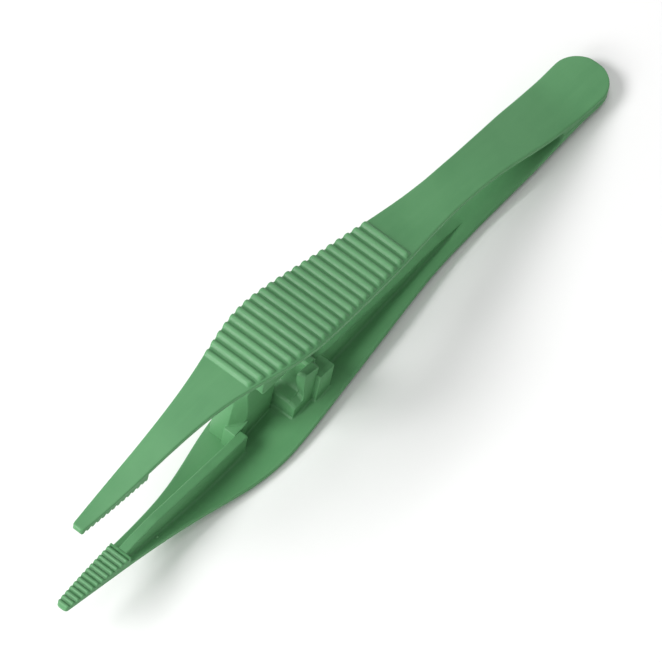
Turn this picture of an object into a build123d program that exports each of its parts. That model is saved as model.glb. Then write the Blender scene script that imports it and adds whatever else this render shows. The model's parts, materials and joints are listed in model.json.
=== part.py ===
from build123d import *
import math
import os

# Plastic thumb forceps (precision tweezers) of the one-use kind: two injection
# moulded spring arms, welded together over a rounded tail lobe, with a
# transversely ridged grip outside and a toothed jaw pad, a stiffening rib and a
# guide inside.  Millimetres.
#
# The arms are first drawn in the TOOL frame: x from the tail end to the tips,
# y across the width, z = 0 the plane in which the two arms meet when closed.
# The finished part is then laid down as it rests on a table, on its tail end
# and on the lower grip: +X tail to tips, +Z up, origin bottom centre of the box.

# ------------------------------------------------------------ driving dimensions
LENGTH = 127.0            # tail end to tips (a 5 inch tool)
LOBE_X = 4.7              # length of the elliptical tail end
LOBE_T = 1.15             # thickness of one arm in the welded tail
WELD_GAP = 0.0            # the two lobes are welded face to face
FLEX_X = 14.0             # where each arm bends, measured from the tail end
FLEX_GAP = 0.20           # cut between the welded tail and each moving arm

# outer face of the upper arm: distance from the closing plane along the arm
OUTER = [(9.0, 1.34), (12.0, 1.84), (16.0, 2.66), (20.0, 3.62), (25.0, 4.86),
         (30.0, 5.95), (35.0, 6.75), (40.0, 7.32), (45.0, 7.82), (50.0, 8.36),
         (55.0, 9.06), (60.0, 9.92), (65.0, 10.90), (70.0, 11.98), (75.0, 13.11),
         (80.0, 14.15), (84.0, 14.82), (88.0, 15.26), (92.0, 15.40), (96.0, 15.24),
         (100.0, 14.83), (104.0, 14.25), (108.0, 13.57), (112.0, 12.84),
         (116.0, 12.14), (120.0, 11.54), (124.0, 11.10), (127.0, 10.92)]
# plate thickness along the arm
THICK = [(9.0, 1.10), (14.0, 1.10), (30.0, 1.05), (50.0, 1.05), (70.0, 1.12),
         (90.0, 1.15), (104.0, 1.15), (113.0, 1.05), (120.0, 0.90), (127.0, 0.75)]
# half width in plan along the arm
HALF_W = [(4.7, 4.65), (12.0, 4.50), (20.0, 4.24), (26.0, 3.81), (32.0, 3.51),
          (40.0, 3.45), (45.0, 3.70), (50.0, 4.17), (55.0, 4.67), (60.0, 5.12),
          (65.0, 5.53), (70.0, 5.93), (75.0, 6.31), (80.0, 6.53), (84.0, 6.25),
          (88.0, 5.58), (92.0, 4.66), (96.0, 3.78), (100.0, 3.11), (104.0, 2.64),
          (108.0, 2.29), (112.0, 2.01), (116.0, 1.79), (120.0, 1.54), (124.0, 1.22),
          (127.0, 0.92)]

RIDGES = 21               # rounded transverse grip ridges
RIDGE_X0 = 53.9           # first ridge, from the tail end
RIDGE_PITCH = 1.96        # along the face
RIDGE_H = 0.50            # crest above the face
FACE_SINK = 0.22          # face between ridges below the OUTER line

# longitudinal stiffening ribs; the y range is that of the lower arm, the upper
# arm has them on the other side of the middle
PAD_REAR = 113.0          # where the jaw pad starts
REAR_RIB_Y = (-0.45, 1.35)
REAR_RIB_X = (35.5, 69.6)
REAR_RIB_Z = 5.0          # its straight edge, from the closing plane
FRONT_RIB_Y = (-0.64, 1.00)
FRONT_RIB_X = (84.3, PAD_REAR)
FRONT_RIB_Z = [(84.3, 9.72), (92.0, 9.75), (100.0, 9.42), (106.0, 9.20), (110.0, 9.50),
               (PAD_REAR, 10.02)]

PAD_X = PAD_REAR          # rear edge of the jaw pad
PAD_Z = (10.02, 9.42)     # tooth crests at the pad's rear edge and at the tips
TOOTH_H = 0.42
TEETH = 13

# guide fork and guide wall on the lower arm, guide tongue on the upper arm;
# x-z outlines with z counted from the closing plane towards the arm's own plate
FORK_X = (70.6, 75.9)
FORK_Y = (-3.00, 1.70)
FORK_SIDE = [(70.6, 3.10), (71.0, 2.75), (72.3, 2.60), (72.75, 2.95), (72.9, 4.2), (73.1, 5.8),
             (73.4, 7.4), (73.9, 8.3), (74.6, 8.65), (75.5, 8.85), (75.9, 9.25)]
RIM_X = (71.6, 75.85)
RIM_Y = (1.70, 3.00)      # upright rim on the near side of the hollow face
RIM_SIDE = [(71.6, 2.95), (74.2, 2.25), (74.65, 2.60), (74.7, 4.8), (74.25, 7.0), (73.8, 8.5),
            (74.1, 9.05), (75.6, 9.40), (75.85, 9.7)]
FLANGE_X = (68.2, 71.6)
FLANGE_Y = (1.35, 3.80)
TONGUE_X = (77.0, 83.9)
TONGUE_Y = (-0.50, 1.40)
TONGUE_END = 0.50         # above the closing plane
WALL_X = (76.6, 85.3)
WALL_Y = (-2.70, -0.80)
WALL_SIDE = [(76.6, 1.70), (77.4, 0.90), (84.4, 0.90), (85.0, 1.70), (85.3, 9.0)]
WALL_PLAN = [(76.6, -2.70), (85.3, -2.70), (85.3, -2.40), (82.9, -0.80), (76.6, -0.80)]
STEP_X = (82.0, 85.7)     # low step that joins the wall to the front rib
STEP_Y = (-2.70, -0.64)
STEP_SIDE = [(82.0, 8.3), (82.5, 8.4), (85.7, 9.70)]
WEB_X = (84.3, 85.3)      # cross web on the far side of the step
WEB_Y = (-5.30, -2.70)
WEB_TOP = 3.2

# ------------------------------------------------------------ small helpers


def interp(table, x):
    if x <= table[0][0]:
        return table[0][1]
    for (xa, va), (xb, vb) in zip(table, table[1:]):
        if x <= xb:
            return va + (vb - va) * (x - xa) / (xb - xa)
    return table[-1][1]


def smooth(table, x, h=2.2):
    """Table value averaged over a short span, so that the knots don't show."""
    lo, hi = table[0][0], table[-1][0]
    h = min(h, max(x - lo, 0.0), max(hi - x, 0.0))
    if h < 1e-6:
        return interp(table, x)
    n = 8
    return sum(interp(table, x + h * (2 * i / n - 1)) for i in range(n + 1)) / (n + 1)


def outer_z(x):
    return smooth(OUTER, x) - FACE_SINK


def slope(x):
    return (outer_z(min(x + 0.5, LENGTH)) - outer_z(max(x - 0.5, 9.0))) / \
        (min(x + 0.5, LENGTH) - max(x - 0.5, 9.0))


def inner_curve(x):
    return outer_z(x) - smooth(THICK, x) * math.sqrt(1 + slope(x) ** 2)


PLATE_X0 = FLEX_X + FLEX_GAP / 2
KNOTS = [PLATE_X0 + (LENGTH - PLATE_X0) * i / 56 for i in range(57)]
INNER = [(x, inner_curve(x)) for x in KNOTS]


def inner_z(x):
    return interp(INNER, x)


def inner_line(x0, x1):
    """The plate's inner face between x0 and x1, tail to tip."""
    eps = 1e-6
    return [(x0, inner_z(x0))] + [p for p in INNER if x0 + eps < p[0] < x1 - eps] + \
        [(x1, inner_z(x1))]


def frange(a, b, step):
    n = max(2, int(round((b - a) / step)) + 1)
    return [a + (b - a) * i / (n - 1) for i in range(n)]


def prism_xz(pts, y0, y1):
    """Closed polygon in the x-z plane, from y0 to y1."""
    wire = Polyline([Vector(x, y0, z) for x, z in pts], close=True)
    return Solid.extrude(Face(Wire(wire.edges())), Vector(0, y1 - y0, 0))


def prism_xy(wire, z0, z1):
    return Solid.extrude(Face(wire), Vector(0, 0, z1 - z0)).moved(Location((0, 0, z0)))


def plan_wire(z=0.0, shrink=0.0, x_from=0.0):
    """The arm's outline in plan: elliptical tail, waist, wide grip, narrow tips."""
    xs = [LOBE_X, 12.0, 20.0, 26.0, 32.0, 40.0, 45.0, 50.0, 55.0, 60.0, 65.0, 70.0, 75.0,
          80.0, 84.0, 88.0, 92.0, 96.0, 100.0, 104.0, 108.0, 112.0, 116.0, 120.0, 124.0,
          LENGTH - 0.5]
    near = [Vector(x, interp(HALF_W, x) - shrink, z) for x in xs]
    far = [Vector(v.X, -v.Y, z) for v in near]
    a = Spline(near, tangents=[Vector(1, 0, 0), Vector(1, -0.1, 0)])
    w = near[-1].Y
    tip = ThreePointArc(near[-1], Vector(LENGTH, 0, z), far[-1])
    b = Spline(list(reversed(far)), tangents=[Vector(-1, -0.1, 0), Vector(-1, 0, 0)])
    c = ThreePointArc(far[0], Vector(shrink, 0, z), near[0])
    return Wire([a, tip, b, c])


def faces_side(x0, x1, ridges=True):
    """Side outline of the plate between x0 and x1, with the ridge crests."""
    pts = [(x, outer_z(x)) for x in frange(x0, x1, 1.0)]
    if ridges and x1 > RIDGE_X0:
        # distance along the face, to place the ridges at an even pitch
        step = 0.05
        pos, x = [RIDGE_X0], RIDGE_X0
        while len(pos) < RIDGES:
            run = 0.0
            while run < RIDGE_PITCH:
                run += step * math.sqrt(1 + slope(x) ** 2)
                x += step
            pos.append(x)
        half = 0.40 * RIDGE_PITCH
        pts = [p for p in pts if p[0] < pos[0] - half - 0.2 or p[0] > pos[-1] + half + 0.2]
        bump = []
        for c in pos:
            bump += [(c - half, 0.0), (c - 0.62 * half, 0.62), (c - 0.24 * half, 0.97),
                     (c + 0.24 * half, 0.97), (c + 0.62 * half, 0.62), (c + half, 0.0)]
        pts += [(x, outer_z(x) + RIDGE_H * k) for x, k in bump]
        pts.sort()
    return pts + list(reversed(inner_line(x0, x1)))


PLAN = prism_xy(plan_wire(), -40.0, 40.0)


def cut_to_plan(solid):
    out = solid & PLAN
    return max(out.solids(), key=lambda s: s.volume)


# ------------------------------------------------------------ upper arm, tool frame


def make_lobe():
    """Half of the welded tail: one arm's thickness, up to where the arm bends."""
    xe = FLEX_X - FLEX_GAP / 2
    top = [(0.0, LOBE_T)] + [(x, max(LOBE_T, outer_z(x)) if x > 9 else LOBE_T)
                             for x in frange(7.5, xe, 0.8)]
    pts = top + [(xe, 0.0), (0.0, 0.0)]        # solid up to the fork of the arms
    return cut_to_plan(prism_xz(pts, -8, 8))


def make_plate():
    return cut_to_plan(prism_xz(faces_side(FLEX_X + FLEX_GAP / 2, LENGTH), -9, 9))


def turned_y(y):
    """The y range of a feature of the lower arm, carried over to the upper arm."""
    return (-y[1], -y[0])


def rib_solid(edge, x0, x1, y0, y1, ramp0=0.0, ramp1=0.0):
    """A web between the plate's inner face and its own free edge."""
    low = [(x, edge(x)) for x in frange(x0 + ramp0, x1 - ramp1, 2.0)]
    return prism_xz(low + list(reversed(inner_line(x0, x1))), y0, y1)


def make_rear_rib(y, x1):
    return rib_solid(lambda x: min(REAR_RIB_Z, inner_z(x) - 0.02), REAR_RIB_X[0],
                     x1, y[0], y[1], 0.8, 0.0)


def make_front_rib(y):
    return rib_solid(lambda x: interp(FRONT_RIB_Z, x), FRONT_RIB_X[0], FRONT_RIB_X[1],
                     y[0], y[1], 0.0, 0.0)


def make_jaw_pad():
    """Raised pad on the inner face of the tip, with transverse teeth."""
    x0, x1 = PAD_X, LENGTH

    def crest(x):
        return PAD_Z[0] + (PAD_Z[1] - PAD_Z[0]) * (x - x0) / (x1 - x0)
    pitch = (x1 - x0 - 0.4) / TEETH
    low = [(x0, crest(x0) + 0.10)]
    for i in range(TEETH):
        a = x0 + 0.4 + i * pitch
        low += [(a, crest(a) + TOOTH_H), (a + 0.50 * pitch, crest(a)), (a + 0.62 * pitch, crest(a))]
    low.append((x1, crest(x1) + TOOTH_H * 0.8))
    return cut_to_plan(prism_xz(low + list(reversed(inner_line(x0, x1))), -5, 5))


def make_tongue():
    """Blade on the upper arm that drops between the fork and the post."""
    x0, x1 = TONGUE_X
    pts = [(x0, TONGUE_END + 0.9), (x0 + 0.9, TONGUE_END),
           (x1 - 0.9, TONGUE_END), (x1, TONGUE_END + 0.9)]
    pts += list(reversed(inner_line(x0, x1)))
    return prism_xz(pts, TONGUE_Y[0], TONGUE_Y[1])


def make_fork():
    """Hollow-faced block on the lower arm with its outer rim and the flange
    behind it, drawn here as if on the upper arm."""
    s = prism_xz(FORK_SIDE + list(reversed(inner_line(*FORK_X))), *FORK_Y)
    s = s + prism_xz(RIM_SIDE + list(reversed(inner_line(*RIM_X))), *RIM_Y)
    flange = [(FLANGE_X[0], REAR_RIB_Z), (FLANGE_X[1], REAR_RIB_Z)]
    flange += list(reversed(inner_line(*FLANGE_X)))
    return s + prism_xz(flange, *FLANGE_Y)


def make_wall():
    """Tall guide wall beside the tongue, the low step that joins it to the front
    rib, and the cross web, drawn here as if on the upper arm."""
    s = prism_xz(WALL_SIDE + list(reversed(inner_line(WALL_X[0], 85.3))), *WALL_Y)
    plan = Polyline([Vector(x, y, 0) for x, y in WALL_PLAN], close=True)
    s = s & prism_xy(Wire(plan.edges()), 0.0, 20.0)     # front face slanted in plan
    s = s + prism_xz(STEP_SIDE + list(reversed(inner_line(*STEP_X))), *STEP_Y)
    web = [(WEB_X[0], WEB_TOP), (WEB_X[1], WEB_TOP)] + list(reversed(inner_line(*WEB_X)))
    return s + prism_xz(web, *WEB_Y)


def single(s):
    sol = s.solids()
    assert len(sol) == 1, len(sol)
    return sol[0]


upper = {
    "upper_tail_lobe": make_lobe(),
    "upper_spring_arm": make_plate(),
    "upper_rear_rib": make_rear_rib(turned_y(REAR_RIB_Y), REAR_RIB_X[1]),
    "upper_front_rib": make_front_rib(turned_y(FRONT_RIB_Y)),
    "upper_jaw_pad": make_jaw_pad(),
    "upper_guide_tongue": make_tongue(),
}
lower_src = {
    "lower_tail_lobe": upper["upper_tail_lobe"],
    "lower_spring_arm": upper["upper_spring_arm"],
    "lower_rear_rib": make_rear_rib(REAR_RIB_Y, FORK_X[0]),
    "lower_front_rib": make_front_rib(FRONT_RIB_Y),
    "lower_jaw_pad": upper["upper_jaw_pad"],
    "lower_guide_fork": make_fork(),
    "lower_guide_wall": make_wall(),
}
parts = dict(upper)
for name, s in lower_src.items():
    parts[name] = s.mirror(Plane.XY)

# ------------------------------------------------------------ laid down as it rests
TILT = math.degrees(math.atan2(15.42 - 1.0, 90.5))     # tail down, on tail end and lower grip
turned = {n: s.rotate(Axis.Y, -TILT) for n, s in parts.items()}
box = Compound(children=[Compound(s.solids()) for s in turned.values()]).bounding_box()
shift = Vector(-(box.min.X + box.max.X) / 2, -(box.min.Y + box.max.Y) / 2, -box.min.Z)

os.makedirs("parts", exist_ok=True)
for name, s in turned.items():
    out = single(s).moved(Location(shift))
    export_step(out, f"parts/{name}.step")
    print(f"{name:22s} volume {out.volume:8.1f} mm3")
print("tilt", round(TILT, 4), "shift", tuple(round(v, 4) for v in (shift.X, shift.Y, shift.Z)))
print("box", [round(v, 3) for v in (box.size.X, box.size.Y, box.size.Z)])
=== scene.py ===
import json
import math

import bmesh
import bpy
import numpy as np
from mathutils import Matrix, Vector


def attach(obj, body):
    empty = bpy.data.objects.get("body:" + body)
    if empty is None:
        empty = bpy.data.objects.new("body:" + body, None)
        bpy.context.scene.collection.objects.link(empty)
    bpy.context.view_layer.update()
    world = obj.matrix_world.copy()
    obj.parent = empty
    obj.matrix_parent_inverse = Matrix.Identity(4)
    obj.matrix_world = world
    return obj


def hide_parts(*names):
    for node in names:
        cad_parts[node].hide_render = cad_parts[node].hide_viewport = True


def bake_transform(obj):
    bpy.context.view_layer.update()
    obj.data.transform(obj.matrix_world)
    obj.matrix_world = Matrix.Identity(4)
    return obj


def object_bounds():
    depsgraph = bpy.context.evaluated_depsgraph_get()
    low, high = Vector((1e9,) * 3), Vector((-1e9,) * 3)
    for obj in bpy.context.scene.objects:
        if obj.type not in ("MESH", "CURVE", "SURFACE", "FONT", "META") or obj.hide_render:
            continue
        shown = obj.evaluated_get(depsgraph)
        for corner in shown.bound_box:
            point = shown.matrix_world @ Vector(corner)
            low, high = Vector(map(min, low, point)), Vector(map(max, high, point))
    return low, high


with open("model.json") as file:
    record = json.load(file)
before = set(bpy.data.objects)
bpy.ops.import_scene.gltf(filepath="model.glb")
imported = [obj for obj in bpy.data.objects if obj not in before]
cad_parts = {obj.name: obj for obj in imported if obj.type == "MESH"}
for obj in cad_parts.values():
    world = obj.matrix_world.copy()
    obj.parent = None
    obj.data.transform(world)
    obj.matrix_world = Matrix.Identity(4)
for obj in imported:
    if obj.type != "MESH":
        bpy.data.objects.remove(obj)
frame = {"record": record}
cad_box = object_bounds()

# =====================================================================
# The tool frame: x from the tail end to the tips, y across, z = 0 the plane in
# which the arms close, all in millimetres.  It is laid down in the row frame by
# one turn about Y and one shift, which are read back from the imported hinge.
# =====================================================================
TILT = math.atan2(15.42 - 1.0, 90.5)
CT, ST = math.cos(TILT), math.sin(TILT)
PIVOT = (14.0, 0.0, 1.40)
hinge = next(j for j in frame["record"]["behaviour"]["joints"] if j["name"] == "upper_arm_flex")
SHIFT = np.array([hinge["pos_m"][0] * 1000 - (PIVOT[0] * CT - PIVOT[2] * ST),
                  hinge["pos_m"][1] * 1000,
                  hinge["pos_m"][2] * 1000 - (PIVOT[0] * ST + PIVOT[2] * CT)])


def to_row(p):
    """Tool-frame millimetres to row-frame metres."""
    p = np.atleast_2d(np.asarray(p, float))
    return np.stack([p[:, 0] * CT - p[:, 2] * ST + SHIFT[0],
                     p[:, 1] + SHIFT[1],
                     p[:, 0] * ST + p[:, 2] * CT + SHIFT[2]], 1) / 1000.0


def turn_row(v):
    return Vector((v[0] * CT - v[2] * ST, v[1], v[0] * ST + v[2] * CT))


# ------------------------------------------------------------ dimensions (as in the CAD)
LENGTH = 127.0
LOBE_T = 1.15
OUTER = [(9.0, 1.34), (12.0, 1.84), (16.0, 2.66), (20.0, 3.62), (25.0, 4.86),
         (30.0, 5.95), (35.0, 6.75), (40.0, 7.32), (45.0, 7.82), (50.0, 8.36),
         (55.0, 9.06), (60.0, 9.92), (65.0, 10.90), (70.0, 11.98), (75.0, 13.11),
         (80.0, 14.15), (84.0, 14.82), (88.0, 15.26), (92.0, 15.40), (96.0, 15.24),
         (100.0, 14.83), (104.0, 14.25), (108.0, 13.57), (112.0, 12.84),
         (116.0, 12.14), (120.0, 11.54), (124.0, 11.10), (127.0, 10.92)]
THICK = [(9.0, 1.10), (14.0, 1.10), (30.0, 1.05), (50.0, 1.05), (70.0, 1.12),
         (90.0, 1.15), (104.0, 1.15), (113.0, 1.05), (120.0, 0.90), (127.0, 0.75)]
HALF_W = [(4.7, 4.65), (12.0, 4.50), (20.0, 4.24), (26.0, 3.81), (32.0, 3.51),
          (40.0, 3.45), (45.0, 3.70), (50.0, 4.17), (55.0, 4.67), (60.0, 5.12),
          (65.0, 5.53), (70.0, 5.93), (75.0, 6.31), (80.0, 6.53), (84.0, 6.25),
          (88.0, 5.58), (92.0, 4.66), (96.0, 3.78), (100.0, 3.11), (104.0, 2.64),
          (108.0, 2.29), (112.0, 2.01), (116.0, 1.79), (120.0, 1.54), (124.0, 1.22),
          (127.0, 0.92)]
RIDGES, RIDGE_X0, RIDGE_PITCH, RIDGE_H = 21, 53.9, 1.96, 0.50
FACE_SINK = 0.22
REAR_RIB_X, REAR_RIB_Z = (35.5, 69.6), 5.0
FRONT_RIB_X = (84.3, 113.0)
FRONT_RIB_Z = [(84.3, 9.72), (92.0, 9.75), (100.0, 9.42), (106.0, 9.20), (110.0, 9.50),
               (113.0, 10.02)]
REAR_RIB_Y, FRONT_RIB_Y = (-0.45, 1.35), (-0.64, 1.00)
PAD_X, PAD_Z, TOOTH_H, TEETH = 113.0, (10.02, 9.42), 0.42, 13
FORK_X, FORK_Y = (70.6, 75.9), (-3.00, 1.70)
RIM_X, RIM_Y = (71.6, 75.85), (1.70, 3.00)
FLANGE_X, FLANGE_Y = (68.2, 71.6), (1.35, 3.80)
TONGUE_X, TONGUE_Y, TONGUE_END = (77.0, 83.9), (-0.50, 1.40), 0.50
WALL_X, WALL_Y = (76.6, 85.3), (-2.70, -0.80)
STEP_X, STEP_Y = (82.0, 85.7), (-2.70, -0.64)
WEB_X, WEB_Y, WEB_TOP = (84.3, 85.3), (-5.30, -2.70), 3.2


def gaussian_table(table, sigma=1.6, clamp_ends=True):
    """A smooth curve through a dimension table, sampled every 0.02 mm."""
    xs = np.arange(-4.0, LENGTH + 4.0, 0.02)
    kx = np.array([t[0] for t in table])
    kv = np.array([t[1] for t in table])
    v = np.interp(xs, kx, kv)
    # carry the end slopes on, so that the ends don't flatten
    s1 = (kv[-1] - kv[-2]) / (kx[-1] - kx[-2])
    v = np.where(xs > kx[-1], kv[-1] + s1 * (xs - kx[-1]), v)
    n = int(4 * sigma / 0.02)
    k = np.exp(-0.5 * (np.arange(-n, n + 1) * 0.02 / sigma) ** 2)
    k /= k.sum()
    pad = np.concatenate([np.full(n, v[0]), v, v[-1] + s1 * 0.02 * np.arange(1, n + 1)])
    return xs, np.convolve(pad, k, mode="valid")


OX, OZ = gaussian_table(OUTER, 1.5)
TX, TV = gaussian_table(THICK, 1.5)
WX, WV = gaussian_table(HALF_W, 1.3)
SL = np.gradient(OZ, OX)


def f_outer(x):
    """Outer face of the upper arm, between the ridges."""
    z = np.interp(x, OX, OZ) - FACE_SINK
    # soft meeting of the flat tail lobe and the bending arm
    d = z - LOBE_T
    k = 0.10
    soft = LOBE_T + 0.5 * (d + np.sqrt(d * d + k * k))
    return np.where(x < 6.0, LOBE_T, np.where(x < 26.0, soft - 0.5 * (np.sqrt(
        (f6 - LOBE_T) ** 2 + k * k) + (f6 - LOBE_T)) * np.clip((26.0 - x) / 20.0, 0, 1), z))


f6 = float(np.interp(6.0, OX, OZ) - FACE_SINK)


def f_slope(x):
    return np.interp(x, OX, SL)


def f_thick(x):
    """Plate thickness, measured straight down (along z)."""
    return np.interp(x, TX, TV) * np.sqrt(1 + f_slope(x) ** 2)


FORK_AT = 13.9           # the tail is solid up to here


def f_plate_inner(x):
    z = f_outer(x) - f_thick(x)
    # small round in the crotch between the arms
    u = np.clip((np.asarray(x, float) - FORK_AT) / 1.1, 0, 1)
    return np.where(x < FORK_AT, 0.0, z * np.sqrt(1 - (1 - u) ** 2))


def f_width(x):
    w = np.interp(x, WX, WV)
    x = np.asarray(x, float)
    tail = 4.65 * np.sqrt(np.clip(1 - ((4.7 - np.minimum(x, 4.7)) / 4.7) ** 2, 0, 1))
    w5 = np.interp(np.minimum(x, 12.0), [4.7, 12.0], [4.65, 4.50])
    w = np.where(x < 12, np.minimum(w5, 4.65), w)
    w = np.where(x < 4.7, tail, w)
    # rounded end of the tip
    r = 0.62
    u = np.clip((x - (LENGTH - r)) / r, 0, 1)
    return w - r * (1 - np.sqrt(np.clip(1 - u * u, 0, 1)))


# ridge places, at an even pitch along the face
arc = np.concatenate([[0], np.cumsum(np.sqrt(1 + SL[1:] ** 2) * np.diff(OX))])
s0 = np.interp(RIDGE_X0, OX, arc)
RIDGE_POS = np.interp(s0 + RIDGE_PITCH * np.arange(RIDGES), arc, OX)


def f_ridge(x):
    """Height of the rounded grip ridges above the face."""
    x = np.asarray(x, float)
    h = np.zeros_like(x)
    half = 0.40 * RIDGE_PITCH
    for c in RIDGE_POS:
        u = np.clip(np.abs(x - c) / half, 0, 1)
        # a round top that runs into the floor through a small fillet
        h = np.maximum(h, RIDGE_H * np.where(u < 0.8, 1 - 0.80 * (u / 0.8) ** 2.3,
                                             0.20 * ((1 - u) / 0.2) ** 2))
    return h


def f_crest(x):
    return PAD_Z[0] + (PAD_Z[1] - PAD_Z[0]) * (x - PAD_X) / (LENGTH - PAD_X)


def f_tooth(x):
    """0 on a tooth's crest, 1 in a valley between teeth."""
    pitch = (LENGTH - PAD_X - 0.4) / TEETH
    u = ((x - PAD_X - 0.4) / pitch) % 1.0
    v = np.where(u < 0.44, 1 - u / 0.44, np.where(u < 0.66, 0.0, (u - 0.66) / 0.34))
    v = v * v * (3 - 2 * v)
    return np.where(x < PAD_X + 0.4, 0.0, v)


# =====================================================================
# mesh helpers
# =====================================================================
def new_object(name, verts, faces, attrs=None, smooth=True, sharp=40.0, place=None):
    me = bpy.data.meshes.new(name)
    me.from_pydata([tuple(v) for v in verts], [], [tuple(f) for f in faces])
    me.validate()
    if attrs:
        for key, val in attrs.items():
            a = me.attributes.new(key, "FLOAT", "POINT")
            a.data.foreach_set("value", np.asarray(val, dtype=np.float32))
    if place is not None:
        # where each point sits in the moulding, millimetres: the grain stays put
        # when the arm bends
        a = me.attributes.new("place_mm", "FLOAT_VECTOR", "POINT")
        a.data.foreach_set("vector", np.asarray(place, dtype=np.float32).ravel())
    bm = bmesh.new()
    bm.from_mesh(me)
    bmesh.ops.recalc_face_normals(bm, faces=bm.faces)
    bm.to_mesh(me)
    bm.free()
    me.polygons.foreach_set("use_smooth", [smooth] * len(me.polygons))
    if smooth:
        me.set_sharp_from_angle(angle=math.radians(sharp))
    ob = bpy.data.objects.new(name, me)
    bpy.context.scene.collection.objects.link(ob)
    return ob


class Shell:
    """Collects closed surfaces in the tool frame, then makes one object."""

    def __init__(self):
        self.v, self.f, self.edge, self.pit, self.inside = [], [], [], [], []
        self.n = 0

    def add(self, verts, faces, edge=None, pit=None, inside=None):
        verts = np.asarray(verts, float)
        self.v.append(verts)
        self.f += [tuple(int(i) + self.n for i in f) for f in faces]
        self.edge.append(np.zeros(len(verts)) if edge is None else np.asarray(edge, float))
        self.pit.append(np.zeros(len(verts)) if pit is None else np.asarray(pit, float))
        self.inside.append(np.zeros(len(verts)) if inside is None else np.asarray(inside, float))
        self.n += len(verts)

    def make(self, name, lower=False, sharp=40.0):
        v = np.concatenate(self.v)
        if lower:
            v = v * np.array([1.0, 1.0, -1.0])
        return new_object(name, to_row(v), self.f,
                          {"edge": np.concatenate(self.edge), "pit": np.concatenate(self.pit),
                           "inside": np.concatenate(self.inside)}, sharp=sharp, place=v)


def loft(rings, caps=True):
    """Quads between closed rings of equal length, flat fans at both ends."""
    rings = np.asarray(rings, float)
    m, n, _ = rings.shape
    verts = rings.reshape(-1, 3)
    faces = []
    for i in range(m - 1):
        a = i * n
        b = a + n
        for j in range(n):
            k = (j + 1) % n
            faces.append((a + j, a + k, b + k, b + j))
    if caps:
        faces.append(tuple(range(n)))
        faces.append(tuple(range((m - 1) * n + n - 1, (m - 1) * n - 1, -1)))
    return verts, faces


# =====================================================================
# one arm: tail lobe, spring leaf, grip, front, ribs and jaw pad in one skin
# =====================================================================
def end_profile(u, re, rf, h):
    """How much of a rib's height is left at distance u past the start of its end
    face: rounded edge, upright face, fillet at the foot."""
    u = np.asarray(u, float)
    wall = 0.04
    re = min(re, 0.45 * h)
    rf = min(rf, 0.45 * h)
    out = np.where(u <= 0, h, 0.0)
    a = (u > 0) & (u <= re)
    out = np.where(a, h - re * (1 - np.sqrt(np.clip(1 - (u / re) ** 2, 0, 1))), out)
    b = (u > re) & (u <= re + wall)
    out = np.where(b, (h - re) + (rf - (h - re)) * (u - re) / wall, out)
    c = (u > re + wall) & (u <= re + wall + rf)
    q = (re + wall + rf - u) / rf
    out = np.where(c, rf * (1 - np.sqrt(np.clip(1 - q * q, 0, 1))), out)
    return out


def rib_height(x, rear_end):
    """Free height of the stiffening rib below the plate's inner face."""
    x = np.asarray(x, float)
    zi = f_plate_inner(x)
    # rear rib: straight edge, running out towards the tail
    h = np.clip(zi - REAR_RIB_Z, 0, None)
    h = np.where((x > REAR_RIB_X[0] - 1.5), h, 0.0)
    h = h * np.clip((x - 34.0) / 5.0, 0, 1) ** 0.7
    h_end = float(np.interp(rear_end, x, np.clip(zi - REAR_RIB_Z, 0, None)))
    past = x - (rear_end - 0.34)
    fall = end_profile(past, 0.22, 0.42, h_end) / max(h_end, 1e-6)
    rear = h * np.where(past > 0, fall, 1.0)
    rear = np.where(x > rear_end + 0.6, 0.0, rear)
    # front rib
    zt = np.interp(x, [p[0] for p in FRONT_RIB_Z], [p[1] for p in FRONT_RIB_Z])
    hf = np.clip(zi - zt, 0, None)
    x0, x1 = FRONT_RIB_X
    h0 = float(np.interp(x0, x, hf))
    a = (x0 + 0.24) - x
    front = hf * np.where(a > 0, end_profile(a, 0.22, 0.45, h0) / h0, 1.0)
    front = np.where((x < x0 - 0.5) | (x > x1 + 0.1), 0.0, front)
    # the rib dives into the pad's rear land, whose face carries on from it
    front = front * np.clip((PAD_X + 0.06 - x) / 0.08, 0, 1)
    return rear + front


def end_taper(x, rear_end):
    """How far the rib's flanks draw in at its upright ends."""
    t = np.zeros_like(x)
    for x0, sgn in ((rear_end, 1), (FRONT_RIB_X[0] + 0.24 - 0.34, -1)):
        u = np.clip((x - (x0 - 0.34)) * sgn if sgn > 0 else (x0 + 0.34 - x), 0, 0.22) / 0.22
        near = np.abs(x - x0) < 0.9
        t = np.where(near, np.maximum(t, 0.22 * (1 - np.sqrt(np.clip(1 - u * u, 0, 1)))), t)
    return t


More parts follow.
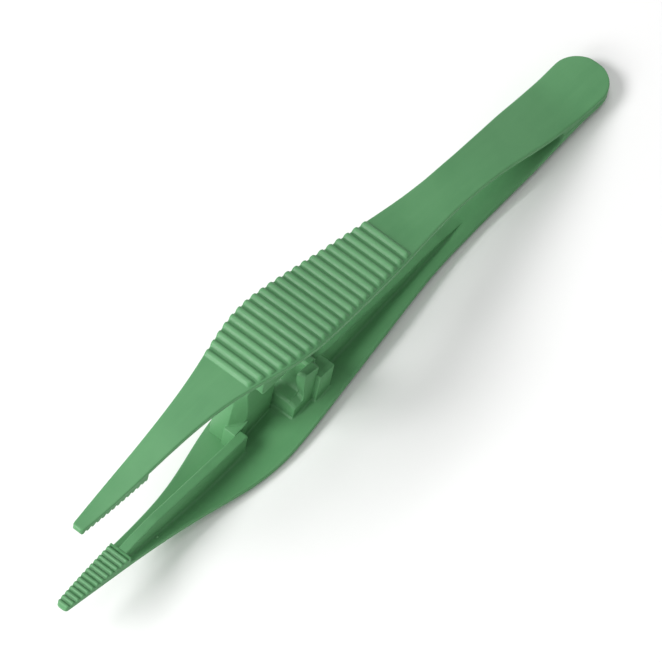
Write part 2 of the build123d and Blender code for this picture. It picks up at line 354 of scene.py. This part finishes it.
def stations(rear_end):
    xs = [np.array([0.0, 0.004, 0.02, 0.05, 0.10, 0.17, 0.27, 0.40, 0.60, 0.85, 1.15, 1.5, 1.9,
                    2.4, 3.0, 3.7, 4.5]),
          np.arange(5.2, 13.6, 0.6), np.array([13.75, 13.9, 13.93, 13.97, 14.03, 14.12, 14.24, 14.4,
                                                       14.6, 14.85, 15.1]), np.arange(15.4, 34.0, 0.6), np.arange(34.0, 53.0, 0.5),
          np.arange(52.9, 93.3, 0.122), np.arange(93.4, 112.0, 0.5)]
    for e, s in ((rear_end - 0.34, 1), (FRONT_RIB_X[0] + 0.24, -1)):
        u = np.array([-0.10, 0.0, 0.05, 0.10, 0.15, 0.19, 0.22, 0.26, 0.30, 0.34, 0.38, 0.44, 0.52,
                      0.60, 0.68, 0.80])
        xs.append(e + s * u)
    xs.append(np.array([112.7, 112.85, 112.93, PAD_X - 0.02, PAD_X, PAD_X + 0.03, PAD_X + 0.08,
                        PAD_X + 0.14, PAD_X + 0.25]))
    xs.append(np.arange(PAD_X + 0.36, LENGTH - 0.66, 0.085))
    r = 0.62
    ang = np.linspace(0, math.pi / 2, 10)
    xs.append(LENGTH - r + r * np.sin(ang))
    x = np.unique(np.round(np.concatenate(xs), 4))
    keep = [x[0]]
    for v in x[1:]:
        if v - keep[-1] > 0.0035:
            keep.append(v)
    if keep[-1] < LENGTH:
        keep[-1] = LENGTH
    return np.array(keep)


def arm_skin(rear_end, side):
    """side = +1 for the lower arm's rib places, -1 for the upper arm's."""
    x = stations(rear_end)
    mid = side * np.interp(x, [76.0, 80.0], [sum(REAR_RIB_Y) / 2, sum(FRONT_RIB_Y) / 2])
    half_rib = np.interp(x, [76.0, 80.0], [(REAR_RIB_Y[1] - REAR_RIB_Y[0]) / 2,
                                           (FRONT_RIB_Y[1] - FRONT_RIB_Y[0]) / 2])
    w = f_width(x)
    zo = f_outer(x)
    T = f_thick(x)
    zi = f_plate_inner(x)
    T = zo - zi
    # jaw pad: the plate's inner face drops to the tooth crests
    step = np.clip((x - (PAD_X - 0.02)) / 0.10, 0, 1)
    step = np.where(x < PAD_X - 0.02, 0.0, np.sqrt(np.clip(1 - (1 - step) ** 2, 0, 1)))
    pad_depth = zo - (f_crest(x) + TOOTH_H * f_tooth(x))
    T0 = T.copy()
    T = T + (pad_depth - T) * step
    # rounded end of the tip, seen from the side
    r = 0.42
    u = np.clip((x - (LENGTH - r)) / r, 0, 1)
    drop = r * (1 - np.sqrt(np.clip(1 - u * u, 0, 1)))
    zo = zo - drop
    T = np.maximum(T - 1.5 * drop, 0.25)
    # rounded tail end, seen from the side
    rt = 0.40
    ut = np.clip((rt - x) / rt, 0, 1)
    dropt = rt * (1 - np.sqrt(np.clip(1 - ut * ut, 0, 1)))
    zo = zo - dropt
    T = T - dropt
    h = np.clip(rib_height(x, rear_end) - np.clip(T - T0, 0, None), 0, None)
    h = np.where(x > PAD_X + 0.05, 0.0, h)
    ridge = f_ridge(x)
    tap = end_taper(x, rear_end)
    rings, edges, pits, insides = [], [], [], []
    top_u = np.array([0, .2, .4, .58, .70, .80, .86, .90, .925, .945, .965, .985, 1.0])
    grip = (RIDGE_POS[0] - 0.8, RIDGE_POS[-1] + 0.8)
    for i, xi in enumerate(x):
        halves = []
        for sgn in (1.0, -1.0):
            wi = max(w[i], 0.02)
            wo = wi
            full = ridge[i] / RIDGE_H
            if sgn < 0 and grip[0] < xi < grip[1]:
                # on the far side the ridges run over the outer edge a little, so that edge is wavy
                wo -= 0.12 * (1 - full) * min(1.0, (xi - grip[0]) / 1.0, (grip[1] - xi) / 1.0)
            ro = min(0.26, 0.45 * wi, 0.42 * T[i])
            ri = min(0.22, 0.40 * wi, 0.40 * T[i])
            if xi < 12:
                ri = min(ri, 0.12)
            if xi > PAD_X:
                ri = min(ri, 0.16)
                ro = min(ro, 0.24)
            y, v, e, p, n = [], [], [], [], []

            # third value: weight of the painted highlight on crests and rounded edges, with some rub
            # wear; fourth: weight of the painted shade in grooves and valleys
            def put(yy, vv, ee=0.0, pp=0.0, nn=0.0):
                y.append(yy)
                v.append(vv)
                e.append(ee)
                p.append(pp)
                n.append(nn)
            # in_grip weights the painted shade in the valleys between the ridges
            in_grip = (1 - full) if grip[0] < xi < grip[1] else 0.0
            # outer face, centre to edge
            for q in top_u:
                yy = q * (wo - ro)
                # on the near side the ridges end in a round just short of the edge
                live = float(np.clip((wo - 0.34 - yy) / 0.50, 0, 1)) ** 0.5 if sgn > 0 else 1.0
                put(yy, -ridge[i] * live + 0.05 * (yy / wi) ** 2, 0.5 * full ** 3 * live,
                    0.5 * in_grip)
            base = 0.05 * ((wo - ro) / wi) ** 2
            for a in (18, 36, 54, 72, 90):
                a = math.radians(a)
                put(wo - ro + ro * math.sin(a),
                    base - ridge[i] * live * math.cos(a) ** 0.5 + ro * (1 - math.cos(a)),
                    0.25 * math.sin(2 * a) ** 2 + 0.4 * live * full ** 3 * math.cos(a), 0.2 * in_grip)
            # side of the plate, very slightly crowned at the parting line
            lo, hi = v[-1], T[i] - ri
            for q in (0.15, 0.5, 0.85):
                put(wo + (wi - wo) * q - 0.02 * math.sin(math.pi * q), lo + (hi - lo) * q)
            for a in (0, 22.5, 45, 67.5, 90):
                a = math.radians(a)
                put(wi - ri + ri * math.cos(a), T[i] - ri + ri * math.sin(a),
                    0.4 * math.sin(2 * a) ** 2, 0.0, math.sin(a))
            # inner face
            k = min(1.0, h[i] / 0.9)
            c = sgn * mid[i]
            b = min(half_rib[i] + c - tap[i], 0.72 * (wi - ri))
            b = max(b, 0.25 * (wi - ri) if h[i] < 1e-4 else 0.10)
            cc = min(c, b - 0.08)
            rf = min(0.42 * k, 0.8 * max(wi - ri - b, 0.02))
            re = min(0.20, 0.45 * h[i]) * k
            y0, y1 = wi - ri, b + rf
            if xi > PAD_X + 0.55:
                tooth = float(f_tooth(np.array([xi]))[0])
                # tooth crests take painted highlight, tooth valleys take painted shade
                tooth_sheen, valley_shade = 1.1 * (1 - tooth) ** 2, 1.3 * tooth
            else:
                tooth_sheen = valley_shade = 0.0
            for q in (0.08, 0.3, 0.6, 0.88):
                put(y0 + (y1 - y0) * q, T[i], tooth_sheen, valley_shade, 1.0)
            # fillet at the rib's foot, drafted flank, rounded free edge
            draft = 0.05 * k
            # the rib's foot fillet takes extra painted shade
            for a in (0, 22.5, 45, 67.5, 90):
                a = math.radians(a)
                put(b + rf * (1 - math.sin(a)), T[i] + min(rf, 0.5 * h[i]) * (1 - math.cos(a)),
                    tooth_sheen, valley_shade + 0.35 * k, 1.0)
            foot = min(rf, 0.5 * h[i])
            v0, v1 = T[i] + foot, T[i] + h[i] - re
            for q in (0.2, 0.6, 0.9):
                put(b - draft * q, v0 + (max(v1, v0) - v0) * q, tooth_sheen, valley_shade, 1.0)
            # the rib's free edge takes more painted highlight
            for a in (0, 30, 60, 90):
                a = math.radians(a)
                put(b - draft - re + re * math.cos(a), T[i] + h[i] - re + re * math.sin(a),
                    tooth_sheen + 0.6 * k * math.sin(2 * a) ** 2, valley_shade, 1.0)
            for q in (0.35, 0.7):
                put(b - draft - re + (cc - (b - draft - re)) * q, T[i] + h[i], tooth_sheen, valley_shade, 1.0)
            put(cc, T[i] + h[i], tooth_sheen, valley_shade, 1.0)
            halves.append([np.array(q) for q in (y, v, e, p, n)])
        (y, v, e, p, n), (y2, v2, e2, p2, n2) = halves
        ring_y = np.concatenate([y, -y2[1:-1][::-1]])
        ring_v = np.concatenate([v, v2[1:-1][::-1]])
        rings.append(np.stack([np.full(len(ring_y), xi), ring_y, zo[i] - ring_v], 1))
        edges.append(np.concatenate([e, e2[1:-1][::-1]]))
        pits.append(np.concatenate([p, p2[1:-1][::-1]]))
        insides.append(np.concatenate([n, n2[1:-1][::-1]]))
    verts, faces = loft(rings)
    return verts, faces, np.concatenate(edges), np.concatenate(pits), np.concatenate(insides)


# =====================================================================
# guide pieces: rounded prisms with a filleted foot on the plate
# =====================================================================
def rounded_prism(poly, y0, y1, r=0.16, seg=3, poly1=None):
    """Prism of an x-z outline between y0 and y1 (or a loft from poly to poly1),
    every edge rounded."""
    bm = bmesh.new()
    a = [bm.verts.new((x, y0, z)) for x, z in poly]
    b = [bm.verts.new((x, y1, z)) for x, z in (poly1 or poly)]
    n = len(poly)
    bm.faces.new(a)
    bm.faces.new(list(reversed(b)))
    for i in range(n):
        j = (i + 1) % n
        bm.faces.new((a[j], a[i], b[i], b[j]))
    bmesh.ops.recalc_face_normals(bm, faces=bm.faces)
    sharp = [e for e in bm.edges if e.calc_face_angle(0) > math.radians(20)]
    bmesh.ops.bevel(bm, geom=sharp, offset=r, segments=seg, profile=0.5, affect="EDGES",
                    clamp_overlap=True)
    bmesh.ops.recalc_face_normals(bm, faces=bm.faces)
    bm.verts.ensure_lookup_table()
    bm.normal_update()
    vs = np.array([tuple(v.co) for v in bm.verts])
    fs = [tuple(v.index for v in f.verts) for f in bm.faces]
    area = [max((f.calc_area() for f in v.link_faces), default=0) for v in bm.verts]
    # small bevel faces take more painted highlight than the large faces
    edge = np.array([0.5 if ar < 1.0 else 0.15 for ar in area])
    bm.free()
    return vs, fs, edge


def foot_fillet(x0, x1, y0, y1, r=0.40, corner=0.18):
    """Concave fillet ring round the foot of a prism that stands on the plate."""
    def outline(d):
        rr = corner + max(d, 0.0)
        pts = []
        for cx, cy, a0 in ((x1 - corner, y1 - corner, 0), (x0 + corner, y1 - corner, 90),
                           (x0 + corner, y0 + corner, 180), (x1 - corner, y0 + corner, 270)):
            for a in np.linspace(a0, a0 + 90, 6):
                a = math.radians(a)
                k = rr if d >= 0 else corner + d
                pts.append((cx + k * math.cos(a), cy + k * math.sin(a)))
        # straight sides get extra points, so that they follow the bent plate
        out = []
        for i, p in enumerate(pts):
            q = pts[(i + 1) % len(pts)]
            out.append(p)
            span = math.dist(p, q)
            if span > 1.0:
                m = 7
                out += [(p[0] + (q[0] - p[0]) * t / m, p[1] + (q[1] - p[1]) * t / m)
                        for t in range(1, m)]
        return np.array(out)
    steps = [(-0.10, -0.20), (r, -0.20), (r, -0.014)]
    steps += [(r * (1 - math.sin(t)), r * (1 - math.cos(t)) - 0.014)
              for t in np.linspace(0.12, math.pi / 2, 8)]
    steps += [(-0.10, r)]
    rings = []
    for d, hgt in steps:
        o = outline(d)
        rings.append(np.stack([o[:, 0], o[:, 1], f_plate_inner(o[:, 0]) - hgt], 1))
    rings = np.array(rings)
    m, n, _ = rings.shape
    faces = []
    for i in range(m):
        a, b = i * n, ((i + 1) % m) * n
        for j in range(n):
            k = (j + 1) % n
            faces.append((a + j, a + k, b + k, b + j))
    verts = rings.reshape(-1, 3)
    # the fillet ring carries a weight of painted shade
    return verts, faces, np.full(len(verts), 0.0), np.full(len(verts), 0.25)


def inner_edge(x0, x1, sink=0.30, n=6):
    xs = np.linspace(x1, x0, n)
    return [(float(v), float(f_plate_inner(v)) + sink) for v in xs]


def tongue_shell():
    s = Shell()
    x0, x1 = TONGUE_X
    poly = [(x0, TONGUE_END + 0.9), (x0 + 0.25, TONGUE_END + 0.36), (x0 + 0.9, TONGUE_END),
            (x1 - 0.9, TONGUE_END), (x1 - 0.25, TONGUE_END + 0.36), (x1, TONGUE_END + 0.9)]
    poly += inner_edge(x0, x1)
    s.add(*rounded_prism(poly, TONGUE_Y[0], TONGUE_Y[1], 0.20))
    s.add(*foot_fillet(x0, x1, TONGUE_Y[0], TONGUE_Y[1]))
    return s


def fork_shell():
    s = Shell()
    hollow = [(70.6, 3.15), (71.0, 2.75), (72.3, 2.60), (72.7, 2.90), (72.9, 4.2), (73.1, 5.8),
              (73.4, 7.4), (73.85, 8.25), (74.6, 8.66), (75.5, 8.85), (75.9, 9.25)]
    lip = [(71.0, 3.15), (71.6, 2.72), (74.5, 2.45), (75.0, 2.80), (74.95, 4.2), (74.3, 6.4),
           (73.75, 7.6), (73.65, 8.15), (74.1, 8.55), (75.4, 8.85), (75.9, 9.25)]
    outer = [(71.3, 3.30), (71.8, 2.95), (74.2, 2.25), (74.62, 2.55), (74.68, 4.6), (74.32, 6.7),
             (74.0, 8.2), (73.95, 8.9), (74.25, 9.25), (75.4, 9.50), (75.85, 9.8)]
    s.add(*rounded_prism(hollow + inner_edge(*FORK_X), FORK_Y[0], FORK_Y[1] + 0.10, 0.10))
    s.add(*rounded_prism(lip + inner_edge(71.0, 75.9), FORK_Y[1] - 0.10, RIM_Y[1], 0.10,
                         poly1=outer + inner_edge(71.3, 75.85)))
    flange = [(FLANGE_X[0], REAR_RIB_Z), (FLANGE_X[1], REAR_RIB_Z)] + inner_edge(*FLANGE_X)
    s.add(*rounded_prism(flange, 1.0, FLANGE_Y[1], 0.14))
    s.add(*foot_fillet(FORK_X[0], FORK_X[1], FORK_Y[0], RIM_Y[1]))
    s.add(*foot_fillet(FLANGE_X[0], FLANGE_X[1], 1.0, FLANGE_Y[1]))
    return s


def stacked(sections, r=0.13, seg=3):
    """Solid from sections of equal length, one above the other, edges rounded."""
    bm = bmesh.new()
    rows = [[bm.verts.new(p) for p in sec] for sec in sections]
    n = len(rows[0])
    bm.faces.new(rows[0])
    bm.faces.new(list(reversed(rows[-1])))
    for a, b in zip(rows, rows[1:]):
        for i in range(n):
            k = (i + 1) % n
            bm.faces.new((a[k], a[i], b[i], b[k]))
    bmesh.ops.recalc_face_normals(bm, faces=bm.faces)
    sharp = [e for e in bm.edges if e.calc_face_angle(0) > math.radians(28)]
    bmesh.ops.bevel(bm, geom=sharp, offset=r, segments=seg, profile=0.5, affect="EDGES",
                    clamp_overlap=True)
    bmesh.ops.recalc_face_normals(bm, faces=bm.faces)
    bm.verts.ensure_lookup_table()
    vs = np.array([tuple(v.co) for v in bm.verts])
    fs = [tuple(v.index for v in f.verts) for f in bm.faces]
    bm.free()
    # every face takes a light, even weight of painted highlight
    return vs, fs, np.full(len(vs), 0.15)


def nib():
    """Tiny stub left where the mould's gate was cut, beside the lower front rib."""
    v, f = [], []
    cx, cy = 106.1, 1.55
    zc = float(f_plate_inner(cx)) - 0.0
    n, m = 10, 4
    for i in range(m):
        t = i / (m - 1) * math.pi / 2
        for k in range(n):
            a = 2 * math.pi * k / n
            v.append((cx + 0.26 * math.cos(t) * math.cos(a) + 0.001 * math.cos(a),
                      cy + 0.20 * math.cos(t) * math.sin(a) + 0.001 * math.sin(a),
                      zc + 0.10 - (0.22 + 0.10) * math.sin(t)))
    for i in range(m - 1):
        for k in range(n):
            b = (k + 1) % n
            f.append((i * n + k, i * n + b, (i + 1) * n + b, (i + 1) * n + k))
    f.append(tuple(range(n)))
    f.append(tuple(range(m * n - 1, (m - 1) * n - 1, -1)))
    # the stub is painted pale through a high weight of the same highlight colour
    return v, f, np.full(len(v), 2.0)


def wall_shell():
    s = Shell()
    # depth, x of the front face at the near side, x of it at the far side
    levels = [(0.90, 83.55, 84.55), (1.60, 83.95, 84.90), (3.8, 83.45, 84.95), (6.5, 82.85, 85.10),
              (8.3, 82.70, 85.20), (9.1, 83.00, 85.25), (9.6, 84.0, 85.30)]
    secs = []
    for z, xn, xf in levels:
        secs.append([(76.6 if z > 1.2 else 77.0, WALL_Y[0], z), (xf, WALL_Y[0], z),
                     (xf, WALL_Y[0] + 0.35, z), (xn, WALL_Y[1], z),
                     (76.6 if z > 1.2 else 77.0, WALL_Y[1], z)])
    zb = [float(f_plate_inner(v)) + 0.30 for v in (76.6, 85.3, 85.3, 84.0, 76.6)]
    secs.append([(76.6, WALL_Y[0], zb[0]), (85.3, WALL_Y[0], zb[1]), (85.3, WALL_Y[0] + 0.35, zb[2]),
                 (84.0, WALL_Y[1], zb[3]), (76.6, WALL_Y[1], zb[4])])
    s.add(*stacked(secs, 0.12))
    step = [(82.6, 9.05), (84.0, 9.45), (85.7, 9.72)] + inner_edge(82.6, STEP_X[1])
    s.add(*rounded_prism(step, STEP_Y[0] + 0.05, STEP_Y[1] + 0.10, 0.10))
    web = [(WEB_X[0] - 0.1, WEB_TOP), (WEB_X[1] - 0.35, WEB_TOP), (WEB_X[1] - 0.05, 9.0)]
    web += inner_edge(WEB_X[0], WEB_X[1], n=2)
    s.add(*rounded_prism(web, WEB_Y[0], WEB_Y[1] + 0.20, 0.12))
    s.add(*foot_fillet(WALL_X[0], 84.0, WALL_Y[0], WALL_Y[1]))
    return s


# =====================================================================
# material: one green plastic, moulded, satin
# =====================================================================
def srgb(r, g, b):
    def f(c):
        c /= 255.0
        return c / 12.92 if c <= 0.04045 else ((c + 0.055) / 1.055) ** 2.4
    return (f(r), f(g), f(b), 1.0)


def plastic(name):
    m = bpy.data.materials.new(name)
    m.use_nodes = True
    nt = m.node_tree
    nt.nodes.clear()

    def node(kind, **props):
        n = nt.nodes.new(kind)
        for key, val in props.items():
            setattr(n, key, val)
        return n

    def put(n, key, val):
        if hasattr(val, "is_output"):
            nt.links.new(val, n.inputs[key])
        else:
            n.inputs[key].default_value = val

    def maths(op, a, b=None):
        n = node("ShaderNodeMath", operation=op)
        put(n, 0, a)
        if b is not None:
            put(n, 1, b)
        return n.outputs["Value"]

    def span(v, a, b, c, d):
        n = node("ShaderNodeMapRange")
        put(n, "Value", v)
        for key, val in zip(("From Min", "From Max", "To Min", "To Max"), (a, b, c, d)):
            put(n, key, val)
        return n.outputs["Result"]

    def blend(fac, a, b):
        n = node("ShaderNodeMix", data_type="RGBA")
        put(n, "Factor", fac)
        put(n, "A", a)
        put(n, "B", b)
        return n.outputs["Result"]

    def noise(scale, detail, rough, stretch=(1, 1, 1)):
        mp = node("ShaderNodeMapping")
        put(mp, "Vector", place.outputs["Vector"])
        put(mp, "Scale", stretch)
        n = node("ShaderNodeTexNoise")
        put(n, "Vector", mp.outputs["Vector"])
        put(n, "Scale", scale)
        put(n, "Detail", detail)
        put(n, "Roughness", rough)
        return n.outputs["Fac"]

    out = node("ShaderNodeOutputMaterial")
    sh = node("ShaderNodeBsdfPrincipled")
    nt.links.new(sh.outputs["BSDF"], out.inputs["Surface"])
    put(sh, "IOR", 1.49)
    put(sh, "Subsurface Weight", 0.06)
    put(sh, "Subsurface Radius", (0.5, 1.0, 0.55))
    put(sh, "Subsurface Scale", 0.0007)
    place = node("ShaderNodeAttribute", attribute_name="place_mm")
    edge = node("ShaderNodeAttribute", attribute_name="edge").outputs["Fac"]
    pit = node("ShaderNodeAttribute", attribute_name="pit").outputs["Fac"]
    inside = node("ShaderNodeAttribute", attribute_name="inside").outputs["Fac"]
    flank = node("ShaderNodeAttribute", attribute_name="flank").outputs["Fac"]
    # the drafted side faces are duller than the polished faces
    put(sh, "Specular IOR Level", span(flank, 0.0, 1.0, 0.32, 0.07))
    cloud = noise(0.075, 4.0, 0.55)                       # pigment cloudiness
    flow = noise(1.0, 5.0, 0.62, (0.06, 0.70, 0.38))      # flow marks along the arm
    grain = noise(5.2, 3.0, 0.70)                         # satin face of the mould
    # base colour
    col = blend(span(cloud, 0.32, 0.68, 0, 1), srgb(*C_BASE0), srgb(*C_BASE1))
    col = blend(span(flow, 0.45, 0.80, 0.0, 0.35), col, srgb(*C_FLOW))
    # crests and rounded edges painted paler: painted highlight, with some rub wear; grooves painted
    # darker: painted shade
    col = blend(maths("MULTIPLY", edge, span(grain, 0.35, 0.65, 0.06, 0.26)), col, srgb(*C_SHEEN_AND_RUB))
    # painted shade: grooves, tooth valleys and fillet feet are darkened
    col = blend(maths("MULTIPLY", pit, 0.30), col, srgb(*C_GROOVE_SHADE_AND_PIN_MARK))
    # marks of the ejector pins, on the inner faces only
    sep = node("ShaderNodeSeparateXYZ")
    put(sep, "Vector", place.outputs["Vector"])
    ring = None
    for cx, cy, rad in PINS:
        dx = maths("SUBTRACT", sep.outputs["X"], cx)
        dy = maths("SUBTRACT", sep.outputs["Y"], cy)
        d = maths("SQRT", maths("ADD", maths("MULTIPLY", dx, dx), maths("MULTIPLY", dy, dy)))
        one = span(d, rad - 0.06, rad + 0.06, 1.0, 0.0)
        ring = one if ring is None else maths("MAXIMUM", ring, one)
    ring = maths("MULTIPLY", ring, inside)
    col = blend(maths("MULTIPLY", ring, 0.22), col, srgb(*C_GROOVE_SHADE_AND_PIN_MARK))
    # painted light: faces turned across the arm are painted a lighter, greener tone
    col = blend(maths("MULTIPLY", flank, 0.22), col, srgb(*C_FLANK_PAINTED_LIGHT))
    put(sh, "Base Color", col)
    # roughness
    rough = span(flow, 0.30, 0.70, 0.36, 0.48)
    put(sh, "Roughness", maths("ADD", rough, maths("MULTIPLY", ring, 0.06)))
    # relief: grain, flow marks, pin marks
    b1 = node("ShaderNodeBump")
    put(b1, "Strength", 0.22)
    put(b1, "Distance", 0.00003)
    put(b1, "Height", grain)
    b2 = node("ShaderNodeBump")
    put(b2, "Strength", 0.25)
    put(b2, "Distance", 0.00008)
    put(b2, "Height", flow)
    put(b2, "Normal", b1.outputs["Normal"])
    b3 = node("ShaderNodeBump", invert=True)
    put(b3, "Strength", 0.8)
    put(b3, "Distance", 0.00006)
    put(b3, "Height", ring)
    put(b3, "Normal", b2.outputs["Normal"])
    put(sh, "Normal", b3.outputs["Normal"])
    return m


C_BASE0, C_BASE1, C_FLOW = (86, 142, 95), (95, 151, 103), (101, 157, 108)
# C_GROOVE_SHADE_AND_PIN_MARK: painted shade in grooves and fillets; it also darkens the pin-mark
# rings
# C_SHEEN_AND_RUB: painted highlight on crests and rounded edges, with some rub wear
C_SHEEN_AND_RUB, C_GROOVE_SHADE_AND_PIN_MARK = (136, 188, 140), (66, 122, 76)
# C_FLANK_PAINTED_LIGHT: painted light on the side faces
C_FLANK_PAINTED_LIGHT = (98, 168, 104)
PINS = [(23.0, -1.4, 1.10), (64.0, -3.3, 1.10), (79.5, -4.4, 1.10)]
GREEN = plastic("green_moulded_plastic")


def finish_piece(ob, nodes, body=None):
    verts = ob.data.vertices
    for v in verts:
        v.co.z = max(v.co.z, cad_box[0][2])
    # flank: how far a face turns across the arm; it dulls the specular and drives the painted light
    # on the side faces
    flank = ob.data.attributes.new("flank", "FLOAT", "POINT")
    flank.data.foreach_set("value", [min(1.0, max(0.0, (abs(v.normal.y) - 0.45) / 0.4))
                                     for v in verts])
    ob.data.materials.append(GREEN)
    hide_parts(*nodes)
    if body:
        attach(ob, body)
    else:
        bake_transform(ob)


up = Shell()
up.add(*arm_skin(REAR_RIB_X[1], -1))
upper = up.make("upper_moulding")
finish_piece(upper, ["upper_tail_lobe", "upper_spring_arm", "upper_rear_rib", "upper_front_rib",
                     "upper_jaw_pad"])
lo = Shell()
lo.add(*arm_skin(FORK_X[0] + 0.5, 1))
lo.add(*nib())
lower = lo.make("lower_moulding", lower=True)
finish_piece(lower, ["lower_tail_lobe", "lower_spring_arm", "lower_rear_rib", "lower_front_rib",
                     "lower_jaw_pad"])
tongue = tongue_shell().make("guide_tongue_upper", sharp=50)
finish_piece(tongue, ["upper_guide_tongue"], body="upper_arm")
fork = fork_shell().make("guide_fork_lower", lower=True, sharp=50)
finish_piece(fork, ["lower_guide_fork"], body="lower_arm")
wall = wall_shell().make("guide_wall_lower", lower=True, sharp=50)
finish_piece(wall, ["lower_guide_wall"], body="lower_arm")

# =====================================================================
# floor, lights, camera
# =====================================================================
me = bpy.data.meshes.new("floor")
S = 6.0
me.from_pydata([(-S, -S, 0), (S, -S, 0), (S, S, 0), (-S, S, 0)], [], [(0, 1, 2, 3)])
floor = bpy.data.objects.new("floor", me)
bpy.context.scene.collection.objects.link(floor)
floor.location = (0, 0, cad_box[0][2] - 0.00002)
fm = bpy.data.materials.new("pale_floor")
fm.use_nodes = True
fb = fm.node_tree.nodes["Principled BSDF"]
fb.inputs["Roughness"].default_value = 0.75
fb.inputs["Specular IOR Level"].default_value = 0.2
fn = fm.node_tree.nodes.new("ShaderNodeTexNoise")
fn.inputs["Scale"].default_value = 3.0
fr = fm.node_tree.nodes.new("ShaderNodeMix")
fr.data_type = "RGBA"
fr.inputs["A"].default_value = (0.90, 0.90, 0.895, 1)
fr.inputs["B"].default_value = (0.93, 0.93, 0.93, 1)
fm.node_tree.links.new(fn.outputs["Fac"], fr.inputs["Factor"])
fm.node_tree.links.new(fr.outputs["Result"], fb.inputs["Base Color"])
me.materials.append(fm)

world = bpy.data.worlds.new("studio")
world.use_nodes = True
bg = world.node_tree.nodes["Background"]
bg.inputs["Color"].default_value = (1.0, 1.0, 1.0, 1)
bg.inputs["Strength"].default_value = 0.24
bpy.context.scene.world = world


def area_light(name, direction, dist, size, power, target=(0.0, 0, 0.012)):
    d = Vector(direction).normalized()
    la = bpy.data.lights.new(name, "AREA")
    la.shape = "DISK"
    la.size = size
    la.energy = power
    ob = bpy.data.objects.new(name, la)
    bpy.context.scene.collection.objects.link(ob)
    ob.location = Vector(target) + d * dist
    ob.rotation_euler = (-d).to_track_quat("-Z", "Y").to_euler()
    return ob


area_light("key", (0.62, -0.38, 0.72), 0.85, 0.36, 5.2)
area_light("front", (0.90, -0.12, 0.40), 0.85, 0.36, 2.6)
area_light("top", (-0.25, 0.0, 1.0), 1.0, 0.8, 3.2)
area_light("rim", (-0.5, -0.8, 0.5), 1.0, 0.4, 0.6)
area_light("fill", (0.75, 0.50, 0.45), 0.9, 0.5, 0.8)

# camera: the fitted viewpoint, a long lens from far away
CAM_POS = (813.056, 399.635, 1154.046)                 # tool frame, mm
CAM_RIGHT = (-0.618034, 0.774986, 0.132024)
CAM_DOWN = (0.588347, 0.567347, -0.576164)
CAM_FWD = (-0.521423, -0.278413, -0.806601)
cam_data = bpy.data.cameras.new("camera")
cam_data.sensor_width = 36.0
cam_data.sensor_fit = "HORIZONTAL"
cam_data.lens = 9649.89 / 662.0 * 36.0
cam_data.clip_start = 0.01
cam_data.clip_end = 50.0
cam = bpy.data.objects.new("camera", cam_data)
bpy.context.scene.collection.objects.link(cam)
right, down, fwd = turn_row(CAM_RIGHT), turn_row(CAM_DOWN), turn_row(CAM_FWD)
rot = Matrix((right, -down, -fwd)).transposed()
cam.matrix_world = Matrix.Translation(Vector(to_row(CAM_POS)[0])) @ rot.to_4x4()
bpy.context.scene.camera = cam
bpy.context.scene.view_settings.view_transform = "Standard"
bpy.context.scene.view_settings.look = "None"
